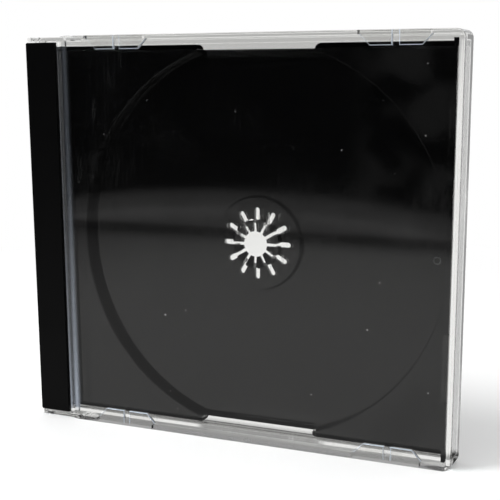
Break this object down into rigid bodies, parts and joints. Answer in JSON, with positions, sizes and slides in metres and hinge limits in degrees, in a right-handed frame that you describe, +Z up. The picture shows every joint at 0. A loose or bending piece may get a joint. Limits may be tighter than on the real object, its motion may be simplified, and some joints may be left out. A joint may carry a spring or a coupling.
{
  "type": "cd jewel case",
  "caption": "Clear hinged case with a black disc tray whose toothed hub holds one compact disc.",
  "frame": {"origin": "middle of the case, on the surface its long bottom edge stands on", "axes": "+X from the spine to the opening side, +Y from the lid to the back panel, +Z up"},
  "size_m": [0.142, 0.0102, 0.125],
  "materials": {
    "clear_plastic": "polished clear polystyrene",
    "black_plastic": "black polystyrene, satin on the hinge strip"
  },
  "bodies": {
    "base": {"back_case": "clear_plastic", "disc_tray": "black_plastic"},
    "lid": {"front_lid": "clear_plastic"}
  },
  "joints": [
    {"name": "lid_hinge", "type": "hinge", "parent": "base", "child": "lid", "pos_m": [-0.066, -0.0015, 0.0625], "axis": [0, 0, -1], "range_deg": [0, 180]}
  ]
}
